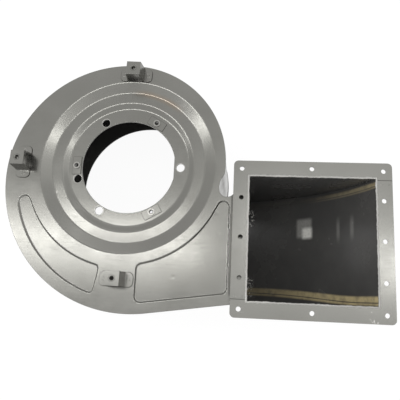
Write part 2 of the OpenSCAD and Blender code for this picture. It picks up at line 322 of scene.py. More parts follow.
    def outline(self, place: Place, angle: float, half: Point, radius: float, width: float) -> Socket:
        """Return 1 along the outside of a rounded rectangle that lies on a plate.

        Args:
            place: The rectangle's middle, in millimetres.
            angle: Its turn, in degrees.
            half: Half its length and half its width.
            radius: The radius of its corners.
            width: The line's width.

        Returns:
            The mask.
        """
        local = self.add("ShaderNodeMapping", {"vector_type": "TEXTURE"}, {
            "Vector": self.coordinates(), "Location": metres(place), "Rotation": (0, 0, math.radians(angle))})
        flat = self.vector("MULTIPLY", local.outputs[0], (1, 1, 0))
        core = metres((half[0] - radius, half[1] - radius, 0))
        over = self.vector("SUBTRACT", self.vector("ABSOLUTE", flat), core)
        reach = self.vector("LENGTH", self.vector("MAXIMUM", over))
        return self.stripe(reach, radius + width / 2, width / 2, width / 2)


@dataclass(frozen=True)
class Finish:
    """What the paints and primers share. Scales are noise cells in a metre, depths are in metres."""

    name: str

    def marked(self, nodes: Nodes, colour: Socket) -> Socket:
        """Return the finish's colour with a piece's own marks. A plain finish has none."""
        return colour

    def surface(self, nodes: Nodes) -> bpy.types.Node:
        """Build the shader.

        Args:
            nodes: The material's node builder.

        Returns:
            The shader node.
        """
        raise NotImplementedError

    def build(self) -> bpy.types.Material:
        """Build the material.

        Returns:
            The finished material.
        """
        material = bpy.data.materials.new(self.name)
        nodes = Nodes(material)
        nodes.add("ShaderNodeOutputMaterial", None, {0: self.surface(nodes).outputs[0]})
        return material


@dataclass(frozen=True)
class SilverPaint(Finish):
    """Sprayed silver-grey paint with a fine metallic sparkle and an orange-peel skin.

    Edges are the noise values between which a pattern goes from none to full, and a change is
    what a pattern adds to the roughness where it is none and where it is full.
    """

    name: str = "silver_paint"
    light: Colour = (0.205, 0.203, 0.188)
    dark: Colour = (0.186, 0.184, 0.169)
    metallic: float = 0.85
    roughness: float = 0.21
    cloud_scale: float = 9.0
    cloud_edges: Span = (0.3, 0.7)
    fleck_scale: float = 900.0
    fleck_edges: Span = (0.62, 0.75)
    fleck_share: float = 0.35
    patch_scale: float = 28.0
    patch_edges: Span = (0.25, 0.75)
    patch_change: Span = (-0.025, 0.035)
    brush_scale: float = 520.0
    brush_edges: Span = (0.4, 0.75)
    brush_change: Span = (-0.008, 0.02)
    brush_stretch: float = 0.08
    peel_scale: float = 420.0
    peel_depth: float = 0.0004
    peel: float = 0.014
    wave_scale: float = 14.0
    wave_depth: float = 0.004
    wave: float = 0.02
    nib_scale: float = 240.0
    nib_edges: Span = (0.68, 0.80)
    nib_depth: float = 0.0004
    nib: float = 0.2

    def dented(self, nodes: Nodes, normal: Socket) -> Socket:
        """Return the paint's normal with a piece's own dents. Plain paint has none."""
        return normal

    def sprayed(self, nodes: Nodes) -> Socket:
        """Build the colour: two greys in soft clouds, with bright metal flecks.

        Args:
            nodes: The material's node builder.

        Returns:
            The colour.
        """
        cloud = nodes.ramp(nodes.noise(self.cloud_scale, 3.0), *self.cloud_edges)
        fleck = nodes.ramp(nodes.noise(self.fleck_scale, 2.0), *self.fleck_edges, 0.0, self.fleck_share)
        return nodes.mix(fleck, nodes.mix(cloud, self.dark, self.light), self.light)

    def gloss(self, nodes: Nodes, patch: Socket) -> Socket:
        """Build the roughness: duller patches, and faint streaks from the rolling of the sheet.

        Args:
            nodes: The material's node builder.
            patch: The noise that makes the patches.

        Returns:
            The roughness.
        """
        low, high = (self.roughness + change for change in self.patch_change)
        rough = nodes.ramp(patch, *self.patch_edges, low, high)
        brushed = nodes.add("ShaderNodeMapping", None, {
            "Vector": nodes.coordinates(), "Scale": (self.brush_stretch, 1.0, 1.0)})
        streak = nodes.noise(self.brush_scale, 3.0, 0.6, brushed.outputs[0])
        return nodes.math("ADD", rough, nodes.ramp(streak, *self.brush_edges, *self.brush_change))

    def skin(self, nodes: Nodes, patch: Socket) -> Socket:
        """Build the normal: orange peel, the sheet's own waves, and nibs of dust in the patches.

        Args:
            nodes: The material's node builder.
            patch: The noise that makes the patches.

        Returns:
            The normal.
        """
        normal = nodes.bump(nodes.noise(self.peel_scale, 2.0), self.peel_depth, self.peel)
        normal = nodes.bump(nodes.noise(self.wave_scale, 1.0, 0.4), self.wave_depth, self.wave, normal)
        nibs = nodes.ramp(nodes.noise(self.nib_scale, 1.0), *self.nib_edges)
        return nodes.bump(nodes.times(nibs, nodes.ramp(patch, 0.5, 0.7)), self.nib_depth, self.nib, normal)

    def surface(self, nodes: Nodes) -> bpy.types.Node:
        """Build the paint's shader.

        Args:
            nodes: The material's node builder.

        Returns:
            The shader node.
        """
        patch = nodes.noise(self.patch_scale, 4.0, 0.6)
        return nodes.add("ShaderNodeBsdfPrincipled", None, {
            "Base Color": self.marked(nodes, self.sprayed(nodes)),
            "Metallic": self.metallic,
            "Roughness": self.gloss(nodes, patch),
            "Normal": self.dented(nodes, self.skin(nodes, patch))})


@dataclass(frozen=True)
class WeldPaint(SilverPaint):
    """The paint on the weld beads, which is thin; its lighter greys are a painted highlight of their tops."""

    name: str = "weld_paint"
    # Lighter than the silver paint all over, as a painted highlight.
    light: Colour = (0.38, 0.375, 0.355)
    dark: Colour = (0.27, 0.265, 0.25)
    metallic: float = 0.5
    roughness: float = 0.3


@dataclass(frozen=True)
class PlatePaint(SilverPaint):
    """The front plate's paint, with painted shadow lines at what is welded on it, painted shade beside
    the flange, painted highlights round the bolt holes, a brownish tint along a step, and dents.

    A stripe is given by its middle, half its width and its soft edge.
    """

    name: str = "plate_paint"
    # The dark colour of the painted shadow lines and of the painted shade beside the flange.
    gap: Colour = (0.055, 0.053, 0.048)
    brown_tint: Colour = (0.225, 0.175, 0.125)
    # The lighter colour of the painted highlights round the bolt holes.
    rim: Colour = (0.45, 0.44, 0.42)
    line: float = 0.7
    tab_share: float = 0.7
    anchor_share: float = 0.6
    hole_highlight_r: float = 7.0
    hole_highlight_z: float = 179.5
    hole_highlight_edge: Span = (0.3, 0.6)
    hole_highlight_share: float = 0.6
    shade_across: Stripe = (170.2, 1.4, 1.4)
    shade_along: Stripe = (-118.0, 76.0, 8.0)
    shade_share: float = 0.55
    tab_half: Point = (26.0, 11.0)
    tab_corner: float = 7.0
    anchor_half: Point = (7.0, 14.5)
    anchor_corner: float = 0.6
    brown_tint_places: tuple[Place, ...] = ((28, 122, 187), (62, 108, 187))
    brown_tint_reach: float = 34.0
    brown_tint_core: float = 0.1
    brown_tint_share: float = 0.5
    step_middle: Place = (0, 0, 187)
    step_stripe: Stripe = (125.0, 1.0, 7.0)
    dent_places: tuple[Place, ...] = ((82, -136, 187.5), (147, -73, 187.5), (150, -106, 187.5),
                                      (-113, -48, 183.5), (-79, -83, 183.5), (84, -174, 187.5))
    dent_r: float = 4.5
    dent_depth: float = 0.0002
    dent: float = 0.3

    def marked(self, nodes: Nodes, colour: Socket) -> Socket:
        """Add the brownish tint, the painted shade beside the flange, the painted highlights round the holes
        and the painted shadow lines.

        Args:
            nodes: The material's node builder.
            colour: The paint's colour.

        Returns:
            The marked colour.
        """
        # A brownish tint along the step's edge at two places.
        step_edge = nodes.ring(self.step_middle, *self.step_stripe)
        for place in self.brown_tint_places:
            tint = nodes.times(nodes.spot(place, self.brown_tint_reach, self.brown_tint_core), step_edge)
            colour = nodes.tinted(colour, tint, self.brown_tint_share, self.brown_tint)
        # Painted shadow: a dark strip on the plate beside the flange's edge.
        shade = nodes.times(nodes.stripe(nodes.along("X"), *self.shade_across),
                            nodes.stripe(nodes.along("Y"), *self.shade_along))
        colour = nodes.tinted(colour, shade, self.shade_share, self.gap)
        # Painted highlights: a lighter ring round each bolt hole.
        for angle in (*BOLT_ANGLES, EXTRA_BOLT_ANGLE):
            middle = polar(BOLT_CIRCLE_R, angle, self.hole_highlight_z)
            rim = nodes.ring(middle, self.hole_highlight_r, *self.hole_highlight_edge)
            colour = nodes.tinted(colour, rim, self.hole_highlight_share, self.rim)
        # Painted shadow lines round the brackets' tabs.
        for radius, angle in BRACKET_PLACES.values():
            tab = nodes.outline(polar(radius, angle), angle + 90, self.tab_half, self.tab_corner, self.line)
            colour = nodes.tinted(colour, tab, self.tab_share, self.gap)
        # Painted shadow lines round the anchor plates.
        for angle in ANCHOR_ANGLES:
            plate = nodes.outline(polar(BOLT_CIRCLE_R, angle), angle, self.anchor_half,
                                  self.anchor_corner, self.line)
            colour = nodes.tinted(colour, plate, self.anchor_share, self.gap)
        return colour

    def dented(self, nodes: Nodes, normal: Socket) -> Socket:
        """Add the small dents.

        Args:
            nodes: The material's node builder.
            normal: The paint's normal.

        Returns:
            The dented normal.
        """
        for place in self.dent_places:
            hollow = nodes.math("MULTIPLY", nodes.spot(place, self.dent_r, 0.0), -1.0)
            normal = nodes.bump(hollow, self.dent_depth, self.dent, normal)
        return normal


@dataclass(frozen=True)
class AnchorPaint(SilverPaint):
    """The anchor nuts' paint, with painted shade in their bores and painted highlights on their collars' rims.
    """

    name: str = "anchor_paint"
    # The dark colour put in the nuts' bores as painted shade.
    bore_shade: Colour = (0.03, 0.029, 0.026)
    # The lighter colour of the painted highlights on the collars' rims.
    rim: Colour = (0.42, 0.41, 0.39)
    highlight_z: float = 183.0
    highlight_stripe: Stripe = (4.9, 0.5, 0.5)
    highlight_share: float = 0.7
    bore_shade_r: float = 2.9
    bore_shade_soft: float = 0.4

    def marked(self, nodes: Nodes, colour: Socket) -> Socket:
        """Add the painted shade in the bores and the painted highlights on the rims.

        Args:
            nodes: The material's node builder.
            colour: The paint's colour.

        Returns:
            The marked colour.
        """
        for angle in ANCHOR_ANGLES:
            # Painted highlight: a lighter ring on each collar's rim.
            rim = nodes.ring(polar(BOLT_CIRCLE_R, angle, self.highlight_z), *self.highlight_stripe)
            colour = nodes.tinted(colour, rim, self.highlight_share, self.rim)
            # Painted shade: the bore made dark at any height.
            bore_shade = nodes.shaft(polar(BOLT_CIRCLE_R, angle), self.bore_shade_r, self.bore_shade_soft)
            colour = nodes.mix(bore_shade, colour, self.bore_shade)
        return colour


@dataclass(frozen=True)
class FlangePaint(SilverPaint):
    """The flange's paint, with the two seams between its halves and some scratches.

    A seam is given by the middle of its run along X, its place along Y, and half its length.
    """

    name: str = "flange_paint"
    gap: Colour = (0.04, 0.038, 0.034)
    bare: Colour = (0.48, 0.47, 0.45)
    seams: tuple[Place, ...] = ((394.5, -21.0, 12.5), (183.5, -203.0, 12.5))
    seam_edge: Span = (0.35, 0.3)
    seam_end: float = 0.5
    seam_share: float = 0.85
    scratch_place: Place = (380.0, -218.0, 210.0)
    scratch_reach: float = 15.0
    scratch_core: float = 0.6
    scratch_scale: float = 55.0
    scratch_edges: Span = (0.006, 0.014)
    scratch_share: float = 0.7

    def marked(self, nodes: Nodes, colour: Socket) -> Socket:
        """Add the seams and the scratches.

        Args:
            nodes: The material's node builder.
            colour: The paint's colour.

        Returns:
            The marked colour.
        """
        along, across = nodes.along("X"), nodes.along("Y")
        for middle, height, half in self.seams:
            seam = nodes.times(nodes.stripe(across, height, *self.seam_edge),
                               nodes.stripe(along, middle, half, self.seam_end))
            colour = nodes.tinted(colour, seam, self.seam_share, self.gap)
        wander = nodes.math("SUBTRACT", nodes.noise(self.scratch_scale, 2.0, 0.6), 0.5)
        line = nodes.ramp(nodes.math("ABSOLUTE", wander), *self.scratch_edges, 1.0, 0.0)
        corner_of_flange = nodes.spot(self.scratch_place, self.scratch_reach, self.scratch_core)
        return nodes.tinted(colour, nodes.times(line, corner_of_flange), self.scratch_share, self.bare)


@dataclass(frozen=True)
class BlackPrimer(Finish):
    """Glossy black dip primer, as it was left inside the housing."""

    name: str = "black_primer"
    colour: Colour = (0.062, 0.061, 0.059)
    dusty: Colour = (0.080, 0.078, 0.074)
    roughness: float = 0.2
    dust_roughness: float = 0.32
    specular: float = 0.3
    cloud_scale: float = 12.0
    wave_scale: float = 30.0
    wave_depth: float = 0.001
    wave: float = 0.05

    def surface(self, nodes: Nodes) -> bpy.types.Node:
        """Build the primer's shader.

        Args:
            nodes: The material's node builder.

        Returns:
            The shader node.
        """
        cloud = nodes.noise(self.cloud_scale, 4.0, 0.6)
        colour = nodes.mix(nodes.ramp(cloud, 0.35, 0.75), self.colour, self.dusty)
        return nodes.add("ShaderNodeBsdfPrincipled", None, {
            "Base Color": self.marked(nodes, colour),
            "Roughness": nodes.ramp(cloud, 0.3, 0.8, self.roughness, self.dust_roughness),
            "Specular IOR Level": self.specular,
            "Normal": nodes.bump(nodes.noise(self.wave_scale, 2.0), self.wave_depth, self.wave)})


@dataclass(frozen=True)
class ElbowPrimer(BlackPrimer):
    """The primer on the elbow's back, with wax along its seams, overspray, and painted highlights.

    A stripe is given by its middle, half its width and its soft edge. A painted highlight patch is
    given by its middle and its half size along X and Y, and the share that it covers.
    """

    name: str = "elbow_primer"
    wax: Colour = (0.52, 0.43, 0.24)
    wax_scale: float = 70.0
    # The pale colour of the real silver overspray at the elbow's foot, and of the painted highlights.
    spray_and_highlight: Colour = (0.80, 0.79, 0.74)
    upper_run: Stripe = (-27.0, 2.5, 3.5)
    lower_run: Stripe = (-205.5, 4.5, 4.0)
    lower_sag: Span = (19.0, 8.0)
    upper_line: Stripe = (-29.0, 0.4, 1.0)
    lower_line: Stripe = (-208.0, 0.4, 1.0)
    line_share: float = 0.75
    # Painted highlights: two pale patches where a lamp's reflection lies on the glossy primer.
    patches: tuple[tuple[Point, Point, float], ...] = (
        ((294.5, -75.0), (8.0, 12.0), 0.28), ((299.0, -84.0), (4.0, 5.0), 0.9))
    highlight_soft: Point = (6.0, 8.0)
    mottle_scale: float = 260.0
    # Painted reflections: two faint pale streaks.
    streaks: tuple[Stripe, ...] = ((342.5, 0.3, 3.0), (358.8, 0.3, 3.0))
    reflection_streak_along: Stripe = (-84.0, 4.0, 22.0)
    reflection_streak_share: float = 0.11
    overspray_scale: float = 330.0
    overspray_edges: Span = (0.56, 0.62)
    overspray_ends: tuple[Stripe, Stripe] = ((-50.0, 12.0, 6.0), (-180.0, 14.0, 8.0))
    foot_x: Span = (204.0, 213.0)

    def waxed(self, nodes: Nodes, colour: Socket) -> Socket:
        """Add the wax that was run along the two seams, with a dark line in each run.

        Args:
            nodes: The material's node builder.
            colour: The primer's colour.

        Returns:
            The waxed colour.
        """
        y, z = nodes.along("Y"), nodes.along("Z")
        broken = nodes.ramp(nodes.noise(self.wax_scale, 4.0, 0.6), 0.3, 0.6, 0.55, 1.0)
        sag = nodes.ramp(z, 0.0, 0.16, self.lower_sag[0] * MM, self.lower_sag[1] * MM)
        sagged = nodes.math("SUBTRACT", y, sag)
        upper = nodes.times(nodes.stripe(y, *self.upper_run), nodes.ramp(z, 0.06, 0.19, 0.02, 0.5), broken)
        lower = nodes.times(nodes.stripe(sagged, *self.lower_run), nodes.ramp(z, 0.0, 0.12, 0.42, 1.0), broken)
        for run in (upper, lower):
            colour = nodes.mix(run, colour, self.wax)
        for line in (nodes.stripe(y, *self.upper_line), nodes.stripe(sagged, *self.lower_line)):
            colour = nodes.tinted(colour, line, self.line_share, self.colour)
        return colour

    def highlighted(self, nodes: Nodes, colour: Socket) -> Socket:
        """Add the painted highlights: two pale patches and two faint streaks, painted reflections of lamps.

        Args:
            nodes: The material's node builder.
            colour: The primer's colour.

        Returns:
            The patched colour.
        """
        x, y = nodes.along("X"), nodes.along("Y")
        mottled = nodes.ramp(nodes.noise(self.mottle_scale, 2.0), 0.3, 0.6, 0.8, 1.0)
        # Painted highlights, mottled.
        for middle, half, share in self.patches:
            patch = nodes.times(nodes.stripe(x, middle[0], half[0], self.highlight_soft[0]),
                                nodes.stripe(y, middle[1], half[1], self.highlight_soft[1]), mottled)
            colour = nodes.tinted(colour, patch, share, self.spray_and_highlight)
        # Painted reflections of lamps, as faint streaks.
        for across in self.streaks:
            streak = nodes.times(nodes.stripe(x, *across), nodes.stripe(y, *self.reflection_streak_along))
            colour = nodes.tinted(colour, streak, self.reflection_streak_share, self.spray_and_highlight)
        return colour

    def marked(self, nodes: Nodes, colour: Socket) -> Socket:
        """Add the wax, the painted highlights, and the silver overspray at the elbow's foot.

        Args:
            nodes: The material's node builder.
            colour: The primer's colour.

        Returns:
            The marked colour.
        """
        colour = self.highlighted(nodes, self.waxed(nodes, colour))
        x, y = nodes.along("X"), nodes.along("Y")
        at_foot = nodes.ramp(x, self.foot_x[0] * MM, self.foot_x[1] * MM, 1.0, 0.0)
        grain = nodes.noise(self.overspray_scale, 2.0, 0.6)
        fleck = nodes.times(nodes.ramp(grain, *self.overspray_edges), at_foot)
        ends = nodes.math("ADD", *(nodes.stripe(y, *end) for end in self.overspray_ends))
        return nodes.mix(nodes.times(fleck, ends), colour, self.spray_and_highlight)


@dataclass(frozen=True)
class TwoSided(Finish):
    """Silver paint on a sheet's outer faces, black primer on the others.

    A face is an outer one when it looks along the way out from the centre, in millimetres.
    """

    centre: Place
    outer: Outer
    outside: SilverPaint = SilverPaint()
    inside: BlackPrimer = BlackPrimer()

    def surface(self, nodes: Nodes) -> bpy.types.Node:
        """Build both shaders, and choose by the way that a face looks.

        Args:
            nodes: The material's node builder.

        Returns:
            The shader node.
        """
        outside, inside = self.outside.surface(nodes), self.inside.surface(nodes)
        coordinates = nodes.add("ShaderNodeTexCoord")
        offset = nodes.vector("SUBTRACT", coordinates.outputs["Object"], metres(self.centre))
        way_out = nodes.vector("MULTIPLY", offset, self.outer.value)
        facing = nodes.vector("DOT_PRODUCT", way_out, coordinates.outputs["Normal"])
        is_outside = nodes.math("GREATER_THAN", facing, 0.0)
        return nodes.add("ShaderNodeMixShader", None,
                         {0: is_outside, 1: inside.outputs[0], 2: outside.outputs[0]})


def arc(centre: Point, radius: float, start: float, end: float, steps: int) -> list[Vector]:
    """Return points along an arc, both ends included.

    Args:
        centre: The arc's centre.
        radius: Its radius.
        start: The angle where it starts, in degrees.
        end: The angle where it ends.
        steps: The number of stretches.

    Returns:
        The points, in the plane z = 0.
    """
    angles = [math.radians(start + (end - start) * i / steps) for i in range(steps + 1)]
    return [Vector((centre[0] + radius * math.cos(a), centre[1] + radius * math.sin(a), 0)) for a in angles]


def finish_mesh(name: str, bm: bmesh.types.BMesh, materials: Sequence[bpy.types.Material],
                sharp: float = 35.0) -> bpy.types.Object:
    """Turn a bmesh in millimetres into a smooth piece in metres that rides on the housing.

    Args:
        name: The piece's name.
        bm: The mesh. It is freed.
        materials: The piece's materials, by face material index.
        sharp: Edges steeper than this stay sharp, in degrees.

    Returns:
        The new object.
    """
    bmesh.ops.scale(bm, vec=(MM, MM, MM), verts=bm.verts[:])
    for face in bm.faces:
        face.smooth = True
    for edge in bm.edges:
        if len(edge.link_faces) == 2 and edge.calc_face_angle(0.0) > math.radians(sharp):
            edge.smooth = False
    mesh = bpy.data.meshes.new(name)
    bm.to_mesh(mesh)
    bm.free()
    piece = bpy.data.objects.new(name, mesh)
    bpy.context.scene.collection.objects.link(piece)
    for material in materials:
        mesh.materials.append(material)
    weighted = piece.modifiers.new("weighted_normals", "WEIGHTED_NORMAL")
    weighted.keep_sharp = True
    weighted.weight = 80
    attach(piece, BODY)
    log.info("%s: %d faces", name, len(mesh.polygons))
    return piece


def loop_of(bm: bmesh.types.BMesh, points: Iterable[Vector], z: float) -> list[bmesh.types.BMEdge]:
    """Draw a closed loop of edges.

    Args:
        bm: The mesh to draw in.
        points: The loop's corners.
        z: The loop's height.

    Returns:
        The loop's edges.
    """
    verts = [bm.verts.new((p.x, p.y, z)) for p in points]
    return [bm.edges.new((a, b)) for a, b in zip(verts, verts[1:] + verts[:1])]


@dataclass
class Scroll:
    """The scroll's outline, as the side plates are cut."""

    lip: float = 1.0
    sheet: float = 2.0
    depth: float = 190.0
    radii: tuple[float, float, float] = (164.5, 191.5, 212.0)
    eye_shift: float = 6.5
    floor_slope: float = 8.3
    slot_width: float = 25.0
    tongue_step: float = 9.0
    tongue_out_r: float = 15.0
    tongue_in_r: float = 25.0
    tongue_flat: float = 4.0
    cheek_bend_r: float = 17.0
    cheek_flat: float = 2.5
    outlet: float = 187.0
    floor_tuck: float = 0.05
    bend_steps: int = 12
    cheek_steps: int = 18
    slot_steps: int = 36
    arc_steps: tuple[int, int, int] = (80, 80, 90)

    def __post_init__(self) -> None:
        """Work out the centres and corners that follow from the sizes."""
        r1, r2, r3 = self.radii
        self.centre_1: Point = (-self.eye_shift, self.eye_shift)
        self.centre_2: Point = (-self.eye_shift, self.eye_shift + r1 - r2)
        self.centre_3: Point = (self.centre_2[0] + r3 - r2, self.centre_2[1])
        self.slot_left = self.centre_1[0] + r1 - self.tongue_step
        self.slot_x = self.slot_left + self.slot_width / 2
        self.slot_right = self.slot_left + self.slot_width
        self.cheek_bend_x = self.slot_right + self.cheek_bend_r
        self.throat_x = self.cheek_bend_x + self.cheek_flat
        self.outlet_x = self.throat_x + self.sheet
        self.cheek_low = self.floor_y(self.throat_x, self.lip)
        self.outlet_low = self.cheek_low + self.sheet
        self.outlet_high = self.outlet_low + self.outlet
        self.cheek_high = self.outlet_high + self.sheet
        self.cheek_bend_y = self.cheek_high + self.lip - self.cheek_bend_r
        self.slot_y = self.cheek_bend_y - self.cheek_flat
        self.outlet_middle = (self.outlet_x + self.outlet / 2, (self.outlet_low + self.outlet_high) / 2)

    def floor_y(self, x: float, inset: float) -> float:
        """Return where the duct floor runs in the plan.

        Args:
            x: The place along the floor.
            inset: How far it is drawn in from the side plates' edge.

        Returns:
            The floor's y.
        """
        slope = math.radians(self.floor_slope)
        return (self.centre_3[1] - (self.radii[2] - self.floor_tuck - inset) / math.cos(slope)
                + (x - self.centre_3[0]) * math.tan(slope))

    def outline(self) -> list[Vector]:
        """Draw the side plates' outline.

        Returns:
            The outline, anticlockwise from the duct floor's end.
        """
        r1, r2, r3 = self.radii
        c1 = Vector((*self.centre_1, 0))
        bend_in = (self.slot_left + self.tongue_in_r, self.slot_y + self.tongue_flat)
        reach = Vector((*bend_in, 0)) - c1
        out_reach = r1 - self.tongue_out_r
        bends = self.tongue_out_r + self.tongue_in_r
        swing = math.acos((reach.length_squared + out_reach ** 2 - bends ** 2)
                          / (2 * reach.length * out_reach))
        tongue = math.degrees(math.atan2(reach.y, reach.x) + swing)
        bend_out = c1 + polar(out_reach, tongue)
        turn = math.degrees(math.atan2(bend_in[1] - bend_out.y, bend_in[0] - bend_out.x))
        bend_out_xy = (bend_out.x, bend_out.y)
        cheek_bend = (self.cheek_bend_x, self.cheek_bend_y)
        slot = (self.slot_x, self.slot_y)
        steps_1, steps_2, steps_3 = self.arc_steps
        return [
            Vector((self.throat_x, self.floor_y(self.throat_x, 0), 0)),
            Vector((self.throat_x, self.cheek_high + self.lip, 0)),
            *arc(cheek_bend, self.cheek_bend_r, 90, 180, self.cheek_steps),
            *arc(slot, self.slot_width / 2, 360, 180, self.slot_steps),
            *arc(bend_in, self.tongue_in_r, 180, 180 + turn, self.bend_steps)[:-1],
            *arc(bend_out_xy, self.tongue_out_r, turn, tongue, self.bend_steps)[:-1],
            *arc(self.centre_1, r1, tongue, 90, steps_1)[:-1],
            *arc(self.centre_2, r2, 90, 180, steps_2)[:-1],
            *arc(self.centre_3, r3, 180, 270 + self.floor_slope, steps_3),
        ]


@dataclass
class FrontPlate:
    """The pressed front plate: two stepped rings, the inlet ring, its holes and two panels."""

    scroll: Scroll
    inlet_r: float = 76.5
    inlet_flat: float = 2.0
    ring_radii: tuple[float, float, float, float] = (98.5, 107.5, 125.0, 142.0)
    lower_drop: float = 4.0
    upper_drop: float = 6.5
    step_fall: float = 0.7
    bend_r: float = 8.0
    bend_steps: int = 8
    rim_width: float = 4.0
    hole_d: float = 13.0
    nut_hole_d: float = 5.0
    panel_drop: float = 2.5
    panel_slope: float = 1.9
    panel_bend: float = 1.7
    panel_bend_steps: int = 4
    long_panel_angles: Span = (203.0, 254.0)
    long_panel_bulge: float = 4.5
    long_panel_inset: float = 21.0
    long_panel_in_r: float = 165.0
    long_panel_domes: Span = (2.4, 5.0)
    corner_panel_r: float = 160.0
    corner_panel_start: float = -28.0
    corner_panel_left: float = 27.0
    corner_panel_inset: Point = (31.0, 18.0)
    corner_panel_corner: float = 8.0
    ease: float = 0.6
    primed_below: float = -0.3
    segments: int = 240
    inlet_steps: int = 160
    hole_steps: int = 48

    def dish_profile(self) -> list[Vector]:
        """Draw the stepped rings' section, with rounded bends.

        Returns:
            Points from the inlet ring out, with x as the radius and z as the height.
        """
        low_in, low_out, up_in, up_out = self.ring_radii
        step = self.scroll.depth - self.upper_drop
        ring = step - self.lower_drop
        fall = self.step_fall / 2
        corners = [(low_in - self.rim_width, ring), (low_in, ring),
                   (low_out, step + fall), (up_in, step - fall),
                   (up_out, self.scroll.depth), (up_out + self.rim_width, self.scroll.depth)]
        points = [Vector((corners[0][0], 0, corners[0][1]))]
        for before, at, after in zip(corners, corners[1:], corners[2:]):
            points += self.rounded(Vector(before), Vector(at), Vector(after))
        points.append(Vector((corners[-1][0], 0, corners[-1][1])))
        return points

    def rounded(self, before: Vector, at: Vector, after: Vector) -> list[Vector]:
        """Round one corner of the section.

        Args:
            before: The corner before, as radius and height.
            at: The corner.
            after: The corner after.

        Returns:
            Points along the rounding, with x as the radius and z as the height.
        """
        back = (before - at).normalized()
        forth = (after - at).normalized()
        half = back.angle(forth) / 2
        run = self.bend_r / math.tan(half)
        centre = at + (back + forth).normalized() * self.bend_r / math.sin(half)
        first = at + back * run - centre
        sweep = first.angle_signed(at + forth * run - centre)
        points = []
        for i in range(self.bend_steps + 1):
            spoke = first.copy()
            spoke.rotate(Matrix.Rotation(-sweep * i / self.bend_steps, 2))
            points.append(Vector((centre.x + spoke.x, 0, centre.y + spoke.y)))
        return points

    def long_panel(self, grow: float) -> list[Vector]:
        """Draw the long panel's outline.

        Args:
            grow: How far it is drawn out.

        Returns:
            The outline.
        """
        start, end = self.long_panel_angles
        bulge = self.long_panel_bulge + grow / 3
        r_out, r_in = self.scroll.radii[2] - self.long_panel_inset + grow, self.long_panel_in_r - grow
        centre = Vector((*self.scroll.centre_3, 0))
        steps, end_steps = 40, 24

        def reach(angle: float) -> float:
            """Return the distance from the fan axis to the outer edge."""
            along = centre.dot(polar(1, angle))
            return along + math.sqrt(along ** 2 - centre.length_squared + r_out ** 2)

        def end_points(angle: float, out: float, power: float) -> list[Vector]:
            """Draw one domed end.

            Args:
                angle: Where the panel's straight run ends, in degrees.
                out: How far the dome reaches past it.
                power: How square the dome is.

            Returns:
                Points from the outer edge to the inner.
            """
            points = []
            for i in range(1, end_steps):
                u = math.cos(math.radians(i * 180 / end_steps))
                a = angle + out * (1 - abs(u) ** power) ** (1 / power)
                high = reach(a)
                points.append(polar((high + r_in) / 2 + u * (high - r_in) / 2, a))
            return points

        outer = [start + (end - start) * i / steps for i in range(steps + 1)]
        start_power, end_power = self.long_panel_domes
        return ([polar(reach(a), a) for a in outer] + end_points(end, bulge, end_power)
                + arc((0, 0), r_in, end, start, steps) + end_points(start, -bulge, start_power)[::-1])

    def corner_panel(self, grow: float) -> list[Vector]:
        """Draw the corner panel's outline.

        Args:
            grow: How far it is drawn out.

        Returns:
            The outline.
        """
        radius, left = self.corner_panel_r - grow, self.corner_panel_left - grow
        right = self.scroll.outlet_x - self.corner_panel_inset[0] + grow
        low_inset = self.corner_panel_inset[1] - grow
        corner_r = self.corner_panel_corner + grow
        reach = radius + corner_r
        fillet = Vector((left + corner_r, -math.sqrt(reach ** 2 - (left + corner_r) ** 2), 0))
        end = math.degrees(math.atan2(fillet.y, fillet.x))
        side = arc((0, 0), radius, self.corner_panel_start, end, 24)
        low_left = Vector((left, self.scroll.floor_y(left, low_inset), 0))
        low_right = Vector((right, self.scroll.floor_y(right, low_inset), 0))
        tip = Vector((right, (side[0].length_squared - right * side[0].x) / side[0].y, 0))
        return (side[:-1] + arc((fillet.x, fillet.y), corner_r, 180 + end, 180, 8)
                + corner(fillet - Vector((corner_r, 0, 0)), low_left, low_right, corner_r)
                + corner(low_left, low_right, tip, corner_r)
                + corner(low_right, tip, side[0], corner_r))

    def panel_lean(self) -> float:
        """Return how steep the panels' walls are, in radians."""
        return math.atan2(self.panel_drop, self.panel_slope)

    def panel_section(self) -> list[Point]:
        """Draw the panel wall's section.

        Returns:
            Steps in and down, from the plate to the panel's floor.
        """
        bend, drop, slope = self.panel_bend, self.panel_drop, self.panel_slope
        lean, steps = self.panel_lean(), self.panel_bend_steps
        run = bend * math.tan(lean / 2)
        points = [(-run, 0.0)]
        for i in range(1, steps + 1):
            a = lean * i / steps
            points.append((-run + bend * math.sin(a), -bend * (1 - math.cos(a))))
        for i in range(steps, -1, -1):
            a = lean * i / steps
            points.append((slope + run - bend * math.sin(a), -drop + bend * (1 - math.cos(a))))
        return [(b[0] - a[0], b[1] - a[1]) for a, b in zip(points, points[1:])]

    def press_panel(self, bm: bmesh.types.BMesh, outline: list[Vector]) -> list[bmesh.types.BMEdge]:
        """Press one panel in, from its rim down to its floor.

        Args:
            bm: The mesh.
            outline: The rim's outline.

        Returns:
            The rim's edges.
        """
        rim = loop_of(bm, outline, self.scroll.depth)
        face = bm.faces.new([edge.verts[0] for edge in rim])
        face.normal_update()
        if face.normal.z < 0:
            face.normal_flip()
        for run, fall in self.panel_section():
            bmesh.ops.inset_region(bm, faces=[face], thickness=run, depth=fall,
                                   use_even_offset=True, use_boundary=True)
        return rim

